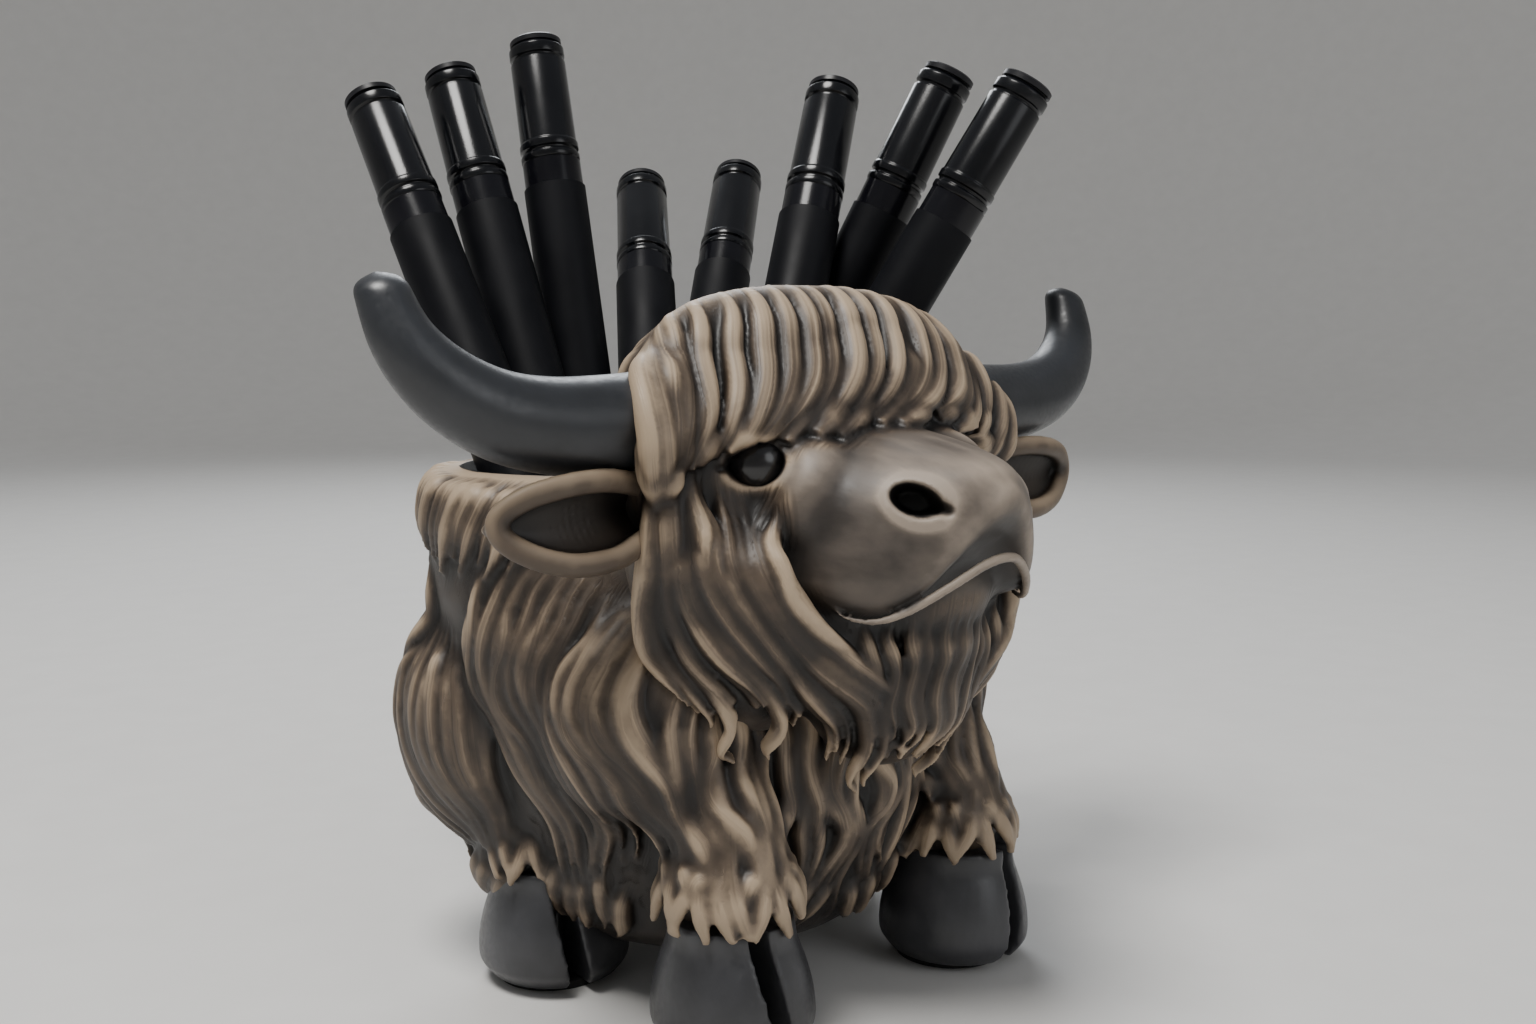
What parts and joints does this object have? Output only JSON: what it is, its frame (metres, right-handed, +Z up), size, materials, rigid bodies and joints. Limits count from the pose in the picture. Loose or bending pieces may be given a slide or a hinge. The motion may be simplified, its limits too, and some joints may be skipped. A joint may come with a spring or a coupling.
{
  "type": "animal pen pot",
  "caption": "Desk pen pot shaped like a squat, shaggy highland cow, with capped fineliner pens leaning in the oval cup in its back; each pen lifts out and its cap pulls off.",
  "frame": {"origin": "on the desk, under the centre of the whole object's bounding box", "axes": "+Z up, the cow looks along -Y, its left side is +X"},
  "size_m": [0.1872, 0.1624, 0.1971],
  "materials": {
    "coat": "satin",
    "horn": "satin",
    "hoof": "satin",
    "eye": "gloss",
    "pad": "matte",
    "barrel": "satin",
    "section": "gloss",
    "ink_core": "matte",
    "cap": "gloss",
    "cap_plug": "satin"
  },
  "bodies": {
    "holder": {"body_casting": "coat", "head_casting": "coat", "left_horn": "horn", "left_ear": "coat", "left_eye": "eye", "right_horn": "horn", "right_ear": "coat", "right_eye": "eye", "front_left_hoof": "hoof", "front_left_pad": "pad", "front_right_hoof": "hoof", "front_right_pad": "pad", "rear_left_hoof": "hoof", "rear_left_pad": "pad", "rear_right_hoof": "hoof", "rear_right_pad": "pad"},
    "pen_1": {"pen_1_barrel": "barrel", "pen_1_section": "section", "pen_1_ink_core": "ink_core"},
    "pen_1_cap": {"pen_1_cap": "cap", "pen_1_cap_plug": "cap_plug"},
    "pen_2": {"pen_2_barrel": "barrel", "pen_2_section": "section", "pen_2_ink_core": "ink_core"},
    "pen_2_cap": {"pen_2_cap": "cap", "pen_2_cap_plug": "cap_plug"},
    "pen_3": {"pen_3_barrel": "barrel", "pen_3_section": "section", "pen_3_ink_core": "ink_core"},
    "pen_3_cap": {"pen_3_cap": "cap", "pen_3_cap_plug": "cap_plug"},
    "pen_4": {"pen_4_barrel": "barrel", "pen_4_section": "section", "pen_4_ink_core": "ink_core"},
    "pen_4_cap": {"pen_4_cap": "cap", "pen_4_cap_plug": "cap_plug"},
    "pen_5": {"pen_5_barrel": "barrel", "pen_5_section": "section", "pen_5_ink_core": "ink_core"},
    "pen_5_cap": {"pen_5_cap": "cap", "pen_5_cap_plug": "cap_plug"},
    "pen_6": {"pen_6_barrel": "barrel", "pen_6_section": "section", "pen_6_ink_core": "ink_core"},
    "pen_6_cap": {"pen_6_cap": "cap", "pen_6_cap_plug": "cap_plug"},
    "pen_7": {"pen_7_barrel": "barrel", "pen_7_section": "section", "pen_7_ink_core": "ink_core"},
    "pen_7_cap": {"pen_7_cap": "cap", "pen_7_cap_plug": "cap_plug"},
    "pen_8": {"pen_8_barrel": "barrel", "pen_8_section": "section", "pen_8_ink_core": "ink_core"},
    "pen_8_cap": {"pen_8_cap": "cap", "pen_8_cap_plug": "cap_plug"}
  },
  "joints": [
    {"name": "pen_1_lift", "type": "slide", "parent": "holder", "child": "pen_1", "axis": [-0.0211, 0.5383, 0.8425], "range_m": [0, 0.07]},
    {"name": "pen_1_cap_pull", "type": "slide", "parent": "pen_1", "child": "pen_1_cap", "axis": [-0.0211, 0.5383, 0.8425], "range_m": [0, 0.032]},
    {"name": "pen_2_lift", "type": "slide", "parent": "holder", "child": "pen_2", "axis": [0.0304, 0.4463, 0.8944], "range_m": [0, 0.07]},
    {"name": "pen_2_cap_pull", "type": "slide", "parent": "pen_2", "child": "pen_2_cap", "axis": [0.0304, 0.4463, 0.8944], "range_m": [0, 0.032]},
    {"name": "pen_3_lift", "type": "slide", "parent": "holder", "child": "pen_3", "axis": [0.0538, 0.271, 0.9611], "range_m": [0, 0.07]},
    {"name": "pen_3_cap_pull", "type": "slide", "parent": "pen_3", "child": "pen_3_cap", "axis": [0.0538, 0.271, 0.9611], "range_m": [0, 0.032]},
    {"name": "pen_4_lift", "type": "slide", "parent": "holder", "child": "pen_4", "axis": [0.4101, 0.5523, 0.7258], "range_m": [0, 0.07]},
    {"name": "pen_4_cap_pull", "type": "slide", "parent": "pen_4", "child": "pen_4_cap", "axis": [0.4101, 0.5523, 0.7258], "range_m": [0, 0.032]},
    {"name": "pen_5_lift", "type": "slide", "parent": "holder", "child": "pen_5", "axis": [0.515, 0.4055, 0.7552], "range_m": [0, 0.07]},
    {"name": "pen_5_cap_pull", "type": "slide", "parent": "pen_5", "child": "pen_5_cap", "axis": [0.515, 0.4055, 0.7552], "range_m": [0, 0.032]},
    {"name": "pen_6_lift", "type": "slide", "parent": "holder", "child": "pen_6", "axis": [0.4289, 0.2092, 0.8788], "range_m": [0, 0.07]},
    {"name": "pen_6_cap_pull", "type": "slide", "parent": "pen_6", "child": "pen_6_cap", "axis": [0.4289, 0.2092, 0.8788], "range_m": [0, 0.032]},
    {"name": "pen_7_lift", "type": "slide", "parent": "holder", "child": "pen_7", "axis": [0.3545, -0.2629, 0.8973], "range_m": [0, 0.07]},
    {"name": "pen_7_cap_pull", "type": "slide", "parent": "pen_7", "child": "pen_7_cap", "axis": [0.3545, -0.2629, 0.8973], "range_m": [0, 0.032]},
    {"name": "pen_8_lift", "type": "slide", "parent": "holder", "child": "pen_8", "axis": [0.3872, -0.3313, 0.8604], "range_m": [0, 0.07]},
    {"name": "pen_8_cap_pull", "type": "slide", "parent": "pen_8", "child": "pen_8_cap", "axis": [0.3872, -0.3313, 0.8604], "range_m": [0, 0.032]}
  ]
}
